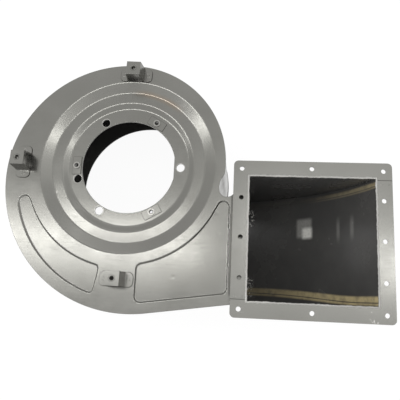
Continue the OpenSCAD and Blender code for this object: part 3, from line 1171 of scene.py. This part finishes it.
    def build(self, paint: bpy.types.Material, primer: bpy.types.Material) -> bpy.types.Object:
        """Model the plate.

        Args:
            paint: The finish of its face.
            primer: The finish of its back.

        Returns:
            The plate.
        """
        bm = bmesh.new()
        depth = self.scroll.depth
        profile = self.dish_profile()
        verts = [bm.verts.new(p) for p in profile]
        edges = [bm.edges.new(pair) for pair in zip(verts, verts[1:])]
        bmesh.ops.spin(bm, geom=verts + edges, cent=(0, 0, 0), axis=(0, 0, 1), dvec=(0, 0, 0),
                       angle=math.tau, steps=self.segments, use_merge=True, use_duplicate=False)
        bmesh.ops.remove_doubles(bm, verts=bm.verts[:], dist=0.001)
        outer_r, inner_r = profile[-1].x, profile[0].x
        dish_out = [e for e in bm.edges if e.is_boundary and e.verts[0].co.xy.length > outer_r - 0.1]
        dish_in = [e for e in bm.edges if e.is_boundary and e.verts[0].co.xy.length < inner_r + 0.1]

        rims = []
        grow = self.panel_slope + self.panel_bend * math.tan(self.panel_lean() / 2)
        for outline in (self.long_panel(grow), self.corner_panel(grow)):
            rims += self.press_panel(bm, outline)
        edge_loop = eased_rim(bm, self.scroll.outline(), depth, self.ease)
        bmesh.ops.triangle_fill(bm, edges=edge_loop + dish_out + rims, use_beauty=True)

        ring = profile[0].z
        chord = math.degrees(math.acos((self.inlet_r - self.inlet_flat) / self.inlet_r))
        holes = eased_rim(bm, arc((0, 0), self.inlet_r, chord, 360 - chord, self.inlet_steps), ring, -self.ease)
        for bolt, nut in zip(BOLT_ANGLES, ANCHOR_ANGLES):
            holes += self.hole(bm, bolt, self.hole_d, ring)
            holes += self.hole(bm, nut, self.nut_hole_d, ring)
        holes += self.hole(bm, EXTRA_BOLT_ANGLE, self.hole_d, ring)
        bmesh.ops.triangle_fill(bm, edges=dish_in + holes, use_beauty=True)

        bmesh.ops.recalc_face_normals(bm, faces=bm.faces[:])
        under = bmesh.ops.extrude_face_region(bm, geom=bm.faces[:], use_keep_orig=True)
        bmesh.ops.translate(bm, vec=(0, 0, -self.scroll.sheet),
                            verts=[v for v in under["geom"] if isinstance(v, bmesh.types.BMVert)])
        bmesh.ops.recalc_face_normals(bm, faces=bm.faces[:])
        for face in bm.faces:
            face.material_index = 1 if face.normal.z < self.primed_below else 0
        piece = finish_mesh("front_plate_pressing", bm, (paint, primer))
        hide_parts("front_plate")
        return piece

    def hole(self, bm: bmesh.types.BMesh, angle: float, diameter: float,
             z: float) -> list[bmesh.types.BMEdge]:
        """Draw one round hole on the bolt circle.

        Args:
            bm: The mesh.
            angle: Its place on the circle, in degrees.
            diameter: Its diameter.
            z: Its height.

        Returns:
            The hole's edges.
        """
        where = polar(BOLT_CIRCLE_R, angle)
        last = 360 - 360 / self.hole_steps
        cut = arc((where.x, where.y), diameter / 2, 0, last, self.hole_steps - 1)
        return eased_rim(bm, cut, z, -self.ease)


def drawn_in(points: Sequence[Vector], distance: float) -> list[Vector]:
    """Draw a closed flat outline in.

    Args:
        points: The outline, anticlockwise.
        distance: How far it moves to its inside. Below 0 it moves out.

    Returns:
        The moved outline, point for point.
    """
    moved = []
    for before, at, after in zip([points[-1], *points[:-1]], points, [*points[1:], points[0]]):
        back, forth = (at - before).normalized(), (after - at).normalized()
        left = Vector((-back.y, back.x, 0))
        middle = (left + Vector((-forth.y, forth.x, 0))).normalized()
        moved.append(at + middle * distance / middle.dot(left))
    return moved


def eased_rim(bm: bmesh.types.BMesh, points: Sequence[Vector], z: float, ease: float,
              steps: int = 3) -> list[bmesh.types.BMEdge]:
    """Draw a cut edge with its corner rounded off.

    Args:
        bm: The mesh.
        points: The cut, anticlockwise.
        z: The height of the face that the corner runs up to.
        ease: The rounding's radius. Below 0 it runs away from the cut's inside, as at a hole.
        steps: The number of stretches.

    Returns:
        The edges where the rounding meets the face.
    """
    rim = loop_of(bm, points, z - abs(ease))
    for i in range(1, steps + 1):
        a = math.radians(90 * i / steps)
        height = z - abs(ease) * (1 - math.sin(a))
        following = loop_of(bm, drawn_in(points, ease * (1 - math.cos(a))), height)
        bmesh.ops.bridge_loops(bm, edges=rim + following)
        rim = following
    return rim


def corner(before: Vector, at: Vector, after: Vector, radius: float, steps: int = 8) -> list[Vector]:
    """Round a corner of a flat outline.

    Args:
        before: A point before the corner.
        at: The corner.
        after: A point after it.
        radius: The rounding's radius.
        steps: The number of stretches.

    Returns:
        Points along the rounding.
    """
    back = (before - at).normalized()
    forth = (after - at).normalized()
    half = back.angle(forth) / 2
    centre = at + (back + forth).normalized() * radius / math.sin(half)
    first = at + back * radius / math.tan(half) - centre
    last = at + forth * radius / math.tan(half) - centre
    a0 = math.degrees(math.atan2(first.y, first.x))
    turn = (math.degrees(math.atan2(last.y, last.x)) - a0 + 180) % 360 - 180
    return arc((centre.x, centre.y), radius, a0, a0 + turn, steps)


@dataclass
class EasedCopy:
    """A sheet part's own solid with its sharp edges eased."""

    node: str
    ease: float = 0.8
    steps: int = 3
    angle: float = 25.0

    def build(self, material: bpy.types.Material) -> bpy.types.Object:
        """Model the part.

        Args:
            material: Its finish.

        Returns:
            The part.
        """
        bm = bmesh.new()
        bm.from_mesh(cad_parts[self.node].data)
        bmesh.ops.scale(bm, vec=(1 / MM, 1 / MM, 1 / MM), verts=bm.verts[:])
        bmesh.ops.remove_doubles(bm, verts=bm.verts[:], dist=0.001)
        bmesh.ops.dissolve_limit(bm, angle_limit=math.radians(1.0), verts=bm.verts[:], edges=bm.edges[:])
        piece = finish_mesh(self.node + "_eased", bm, (material,), sharp=60.0)
        bevel = piece.modifiers.new("eased_edges", "BEVEL")
        bevel.width = self.ease * MM
        bevel.segments = self.steps
        bevel.limit_method = "ANGLE"
        bevel.angle_limit = math.radians(self.angle)
        bevel.harden_normals = False
        piece.modifiers.move(piece.modifiers.find("eased_edges"), 0)
        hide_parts(self.node)
        return piece


def spaced(path: Sequence[Vector], pitch: float) -> Iterator[Vector]:
    """Yield places at an even pitch along a path of straight stretches.

    Args:
        path: The path's corners.
        pitch: The distance from place to place.

    Yields:
        The places.
    """
    left = 0.0
    for start, end in zip(path, path[1:]):
        length = (end - start).length
        while left < length:
            yield start.lerp(end, left / length)
            left += pitch
        left -= length


@dataclass
class WeldBead:
    """A hand-laid weld bead: a chain of flattened lumps of metal under the paint."""

    name: str
    width: float = 2.6
    pitch: float = 1.7
    flatness: float = 0.5
    wander: float = 0.3
    seed: int = 1
    hold: float = 0.7
    sway: float = 0.5
    swell: float = 0.12
    lump_segments: tuple[int, int] = (10, 6)
    stretch: int = 20

    def build(self, runs: Sequence[Sequence[Vector]], material: bpy.types.Material) -> bpy.types.Object:
        """Lay the bead.

        Args:
            runs: The paths that it is laid along.
            material: Its finish.

        Returns:
            The bead, all runs in one piece.
        """
        chance = random.Random(self.seed)
        places = [place for run in runs for place in spaced(run, self.pitch)]
        around, along = self.lump_segments
        aside, fatter = 0.0, 0.0
        bm = bmesh.new()
        for first in range(0, len(places), self.stretch):
            stretch = bmesh.new()
            for place in places[first:first + self.stretch]:
                aside = self.hold * aside + self.sway * chance.uniform(-1, 1)
                fatter = self.hold * fatter + self.swell * chance.uniform(-1, 1)
                drift = Vector((aside, aside, 0)) * self.wander
                radius = self.width / 2 * (1 + fatter)
                lump = Matrix.Translation(place + drift) @ Matrix.Diagonal((1, 1, self.flatness, 1))
                bmesh.ops.create_uvsphere(stretch, u_segments=around, v_segments=along,
                                          radius=radius, matrix=lump)
            laid = bpy.data.meshes.new("stretch")
            stretch.to_mesh(laid)
            stretch.free()
            bm.from_mesh(laid)
            bpy.data.meshes.remove(laid)
        return finish_mesh(self.name, bm, (material,), sharp=180.0)


@dataclass
class SpotMarks:
    """The raised rings that spot welding leaves round its dimples."""

    name: str
    radius: float = 2.8
    width: float = 1.3
    height: float = 0.35
    steps: int = 24

    def build(self, places: Sequence[Vector], material: bpy.types.Material) -> bpy.types.Object:
        """Model the rings.

        Args:
            places: Their middles, on the sheet's face.
            material: Their finish.

        Returns:
            The rings, all in one piece.
        """
        bm = bmesh.new()
        half = self.width / 2
        for place in places:
            section = [(self.radius - half, 0), (self.radius, self.height), (self.radius + half, 0),
                       (self.radius, -self.height / 2)]
            verts = [bm.verts.new(place + Vector((x, 0, z))) for x, z in section]
            edges = [bm.edges.new(pair) for pair in zip(verts, verts[1:] + verts[:1])]
            bmesh.ops.spin(bm, geom=verts + edges, cent=place, axis=(0, 0, 1), dvec=(0, 0, 0),
                           angle=math.tau, steps=self.steps, use_merge=True, use_duplicate=False)
        bmesh.ops.recalc_face_normals(bm, faces=bm.faces[:])
        return finish_mesh(self.name, bm, (material,), sharp=80.0)


@dataclass
class Welds:
    """Every weld that shows: the spots, and the beads round the outlet, at the throat and under the lips."""

    scroll: Scroll
    spot_reach: float = 19.4
    seam_spots: tuple[Place, ...] = ((391, -27, 210), (401, -27, 210), (178, -199, 210), (188.5, -199, 210))
    flange_z: float = 209.8
    lap: float = 0.9
    throat_top_x: float = 166.5
    throat_low_x: float = 166.8
    throat_z: float = 189.8
    throat_spans: tuple[Span, ...] = ((-76, -92), (-97, -121), (-124, -150), (-156, -187))
    stitch: float = 18.0
    gap: float = 42.0
    stitch_step: float = 2.0
    stitch_inset: float = 1.7
    stitch_rise: float = 0.9
    stitch_first: int = 6

    def tab_spots(self) -> list[Vector]:
        """Work out where the spot welds on the brackets' tabs are.

        Returns:
            The middles of the spots.
        """
        z = self.scroll.depth + self.scroll.sheet
        return [polar(radius, angle, z) + polar(reach, angle + 90)
                for radius, angle in BRACKET_PLACES.values() for reach in (-self.spot_reach, self.spot_reach)]

    def outlet_runs(self) -> list[list[Vector]]:
        """Draw the path round the outlet's opening, along the flange's inner edge.

        Returns:
            The one run.
        """
        s = self.scroll
        left, right = s.outlet_x - self.lap, s.outlet_x + s.outlet + self.lap
        low, high = s.outlet_low - self.lap, s.outlet_high + self.lap
        corners = [(left, low), (right, low), (right, high), (left, high), (left, low)]
        return [[Vector((x, y, self.flange_z)) for x, y in corners]]

    def throat_runs(self) -> list[list[Vector]]:
        """Return the broken bead on the corner panel's rim, beside the flange."""
        x_top, x_low, z = self.throat_top_x, self.throat_low_x, self.throat_z
        return [[Vector((x_top, top, z)), Vector((x_low, low, z))] for top, low in self.throat_spans]

    def stitch_runs(self, z: float) -> list[list[Vector]]:
        """Return short runs along the wrapper, under a side plate's lip.

        Args:
            z: The runs' height.

        Returns:
            The runs.
        """
        path = [p + Vector((0, 0, z)) for p in drawn_in(self.scroll.outline(), self.stitch_inset)][1:]
        places = list(spaced(path, self.stitch_step))
        on, off = int(self.stitch / self.stitch_step), int(self.gap / self.stitch_step)
        return [places[i:i + on] for i in range(self.stitch_first, len(places) - on, on + off)]

    def build(self, spot_paint: bpy.types.Material) -> None:
        """Lay all the welds.

        Args:
            spot_paint: The finish of the spot welds.
        """
        SpotMarks("spot_welds").build(self.tab_spots(), spot_paint)
        marks = SpotMarks("seam_spots", radius=1.6, width=1.0, height=0.3)
        marks.build([Vector(spot) for spot in self.seam_spots], spot_paint)
        paint = WeldPaint().build()
        outlet = WeldBead("outlet_weld", width=3.2, pitch=1.0, flatness=0.5, wander=0.5, seed=3)
        outlet.build(self.outlet_runs(), paint)
        throat = WeldBead("throat_weld", width=2.3, pitch=1.3, flatness=0.45, wander=0.5, seed=5)
        throat.build(self.throat_runs(), paint)
        under_front = self.scroll.depth - self.scroll.sheet - self.stitch_rise
        over_back = self.scroll.sheet + self.stitch_rise
        stitches = WeldBead("plate_stitches", width=2.4, pitch=2.0, flatness=0.9, wander=0.1, seed=7)
        stitches.build(self.stitch_runs(under_front) + self.stitch_runs(over_back), paint)


def dress(finish: Finish, *nodes: str) -> None:
    """Give solids that stay as they are their finish.

    Args:
        finish: The finish.
        nodes: The solids' names.
    """
    material = finish.build()
    for node in nodes:
        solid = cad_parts[node]
        solid.data.materials.clear()
        solid.data.materials.append(material)
        log.info("%s: %s", node, material.name)


@dataclass
class Shell:
    """The sheets that stay as their solids are: back plate, wrapper, tongue and elbow."""

    scroll: Scroll
    above: Place = (0.0, 0.0, 400.0)
    fan_axis: Place = (0.0, 0.0, 0.0)
    elbow_z: float = 110.0

    def build(self) -> None:
        """Paint the sheets outside and prime them inside."""
        slot = (self.scroll.slot_x, self.scroll.slot_y, 0)
        elbow = (*self.scroll.outlet_middle, self.elbow_z)
        dress(TwoSided("back_plate_paint", self.above, Outer.UNDERSIDE), "back_plate")
        dress(TwoSided("wrapper_paint", self.fan_axis, Outer.AWAY_FROM_AXIS), "scroll_wrapper")
        dress(TwoSided("tongue_paint", slot, Outer.TOWARDS_AXIS), "tongue_sheet")
        dress(TwoSided("elbow_paint", elbow, Outer.AWAY_FROM_POINT),
              "elbow_cheek_upper", "elbow_cheek_lower", "elbow_throat")
        dress(TwoSided("elbow_back_paint", elbow, Outer.AWAY_FROM_POINT, inside=ElbowPrimer()), "elbow_back")


@dataclass
class Flange:
    """The outlet's flange, in two halves."""

    halves: tuple[str, ...] = ("flange_upper", "flange_lower")
    ease: float = 0.6

    def build(self) -> None:
        """Model the halves."""
        paint = FlangePaint().build()
        for half in self.halves:
            EasedCopy(half, self.ease).build(paint)


@dataclass
class Brackets:
    """The three brackets with their weld nuts."""

    ease: float = 0.8
    nut_ease: float = 0.4
    nut_steps: int = 2

    def build(self, paint: bpy.types.Material) -> None:
        """Model the brackets and the nuts.

        Args:
            paint: Their finish.
        """
        for node in BRACKET_PLACES:
            EasedCopy(node, self.ease).build(paint)
        EasedCopy("bracket_nuts", self.nut_ease, self.nut_steps).build(paint)


@dataclass(frozen=True)
class Lamp:
    """A soft box that points straight down."""

    name: str
    place: Place
    size: Point
    power: float

    def build(self) -> None:
        """Hang the lamp."""
        data = bpy.data.lights.new(self.name, "AREA")
        data.shape = "RECTANGLE"
        data.size, data.size_y = self.size[0] * MM, self.size[1] * MM
        data.energy = self.power
        lamp = bpy.data.objects.new(self.name, data)
        lamp.location = Vector(self.place) * MM
        bpy.context.scene.collection.objects.link(lamp)


@dataclass
class Studio:
    """The floor, the lights and the camera."""

    camera_place: Place = (187.08, -208.78, 950.43)
    camera_aim: Place = (119.84, -54.0, 190.0)
    camera_roll: float = 2.6
    lens: float = 45.0
    world_strength: float = 1.0
    floor_r: float = 6000.0
    floor_place: Place = (100.0, 0.0, -0.2)
    floor_colour: Colour = (0.86, 0.86, 0.86)
    floor_glow: float = 1.03
    floor_share: float = 0.92
    lamps: tuple[Lamp, ...] = (
        Lamp("ceiling_strip", (-960, 70, 1890), (1900, 190), 8.6),
        Lamp("near_right_strip", (430, 110, 1890), (280, 150), 0.95),
        Lamp("far_right_strip", (870, 0, 1890), (300, 200), 1.05),
        Lamp("far_strip", (-150, 1500, 1890), (1500, 120), 1.2),
        Lamp("right_soft_box", (800, 150, 1960), (1400, 1100), 2.3),
    )

    def camera(self) -> None:
        """Set the camera at the photograph's angle."""
        data = bpy.data.cameras.new("camera")
        data.lens = self.lens
        data.sensor_width = 36.0
        data.clip_end = 20.0
        place, aim = Vector(self.camera_place) * MM, Vector(self.camera_aim) * MM
        back = (place - aim).normalized()
        right = Vector((0, 1, 0)).cross(back).normalized()
        up = back.cross(right)
        roll = Matrix.Rotation(math.radians(self.camera_roll), 3, "Z")
        turn = Matrix((right, up, back)).transposed() @ roll
        camera = bpy.data.objects.new("camera", data)
        camera.matrix_world = Matrix.Translation(place) @ turn.to_4x4()
        bpy.context.scene.collection.objects.link(camera)
        bpy.context.scene.camera = camera

    def floor(self) -> None:
        """Lay the pale floor under the housing. It is seen as white, and keeps the shadow."""
        bm = bmesh.new()
        bmesh.ops.create_circle(bm, cap_ends=True, segments=96, radius=self.floor_r * MM,
                                matrix=Matrix.Translation(metres(self.floor_place)))
        mesh = bpy.data.meshes.new("floor")
        bm.to_mesh(mesh)
        bm.free()
        floor = bpy.data.objects.new("floor", mesh)
        bpy.context.scene.collection.objects.link(floor)
        material = bpy.data.materials.new("pale_floor")
        nodes = Nodes(material)
        cast = nodes.add("ShaderNodeBsdfDiffuse", None, {"Color": (*self.floor_colour, 1.0)})
        glow = nodes.add("ShaderNodeEmission", None, {"Color": (1, 1, 1, 1), "Strength": self.floor_glow})
        path = nodes.add("ShaderNodeLightPath")
        seen = nodes.math("MAXIMUM", path.outputs["Is Camera Ray"], path.outputs["Is Glossy Ray"])
        seen = nodes.math("MAXIMUM", seen, path.outputs["Is Transmission Ray"])
        share = nodes.math("MULTIPLY", seen, self.floor_share)
        mixed = nodes.add("ShaderNodeMixShader", None, {0: share, 1: cast.outputs[0], 2: glow.outputs[0]})
        nodes.add("ShaderNodeOutputMaterial", None, {0: mixed.outputs[0]})
        mesh.materials.append(material)

    def build(self) -> None:
        """Set up the whole studio."""
        scene = bpy.context.scene
        scene.view_settings.view_transform = "Standard"
        world = bpy.data.worlds.new("studio")
        world.use_nodes = True
        background = world.node_tree.nodes["Background"]
        background.inputs["Color"].default_value = (1.0, 1.0, 1.0, 1.0)
        background.inputs["Strength"].default_value = self.world_strength
        scene.world = world
        self.camera()
        self.floor()
        for lamp in self.lamps:
            lamp.build()


def main() -> None:
    """Build the studio and dress the housing, piece by piece."""
    logging.basicConfig(level=logging.INFO, format="%(message)s")
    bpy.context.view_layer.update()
    Studio().build()
    scroll = Scroll()
    paint = SilverPaint().build()
    FrontPlate(scroll).build(PlatePaint().build(), BlackPrimer().build())
    Shell(scroll).build()
    Flange().build()
    Brackets().build(paint)
    EasedCopy("inlet_anchor_nuts", ease=0.4, steps=2).build(AnchorPaint().build())
    Welds(scroll).build(paint)


if __name__ == "__main__":
    main()
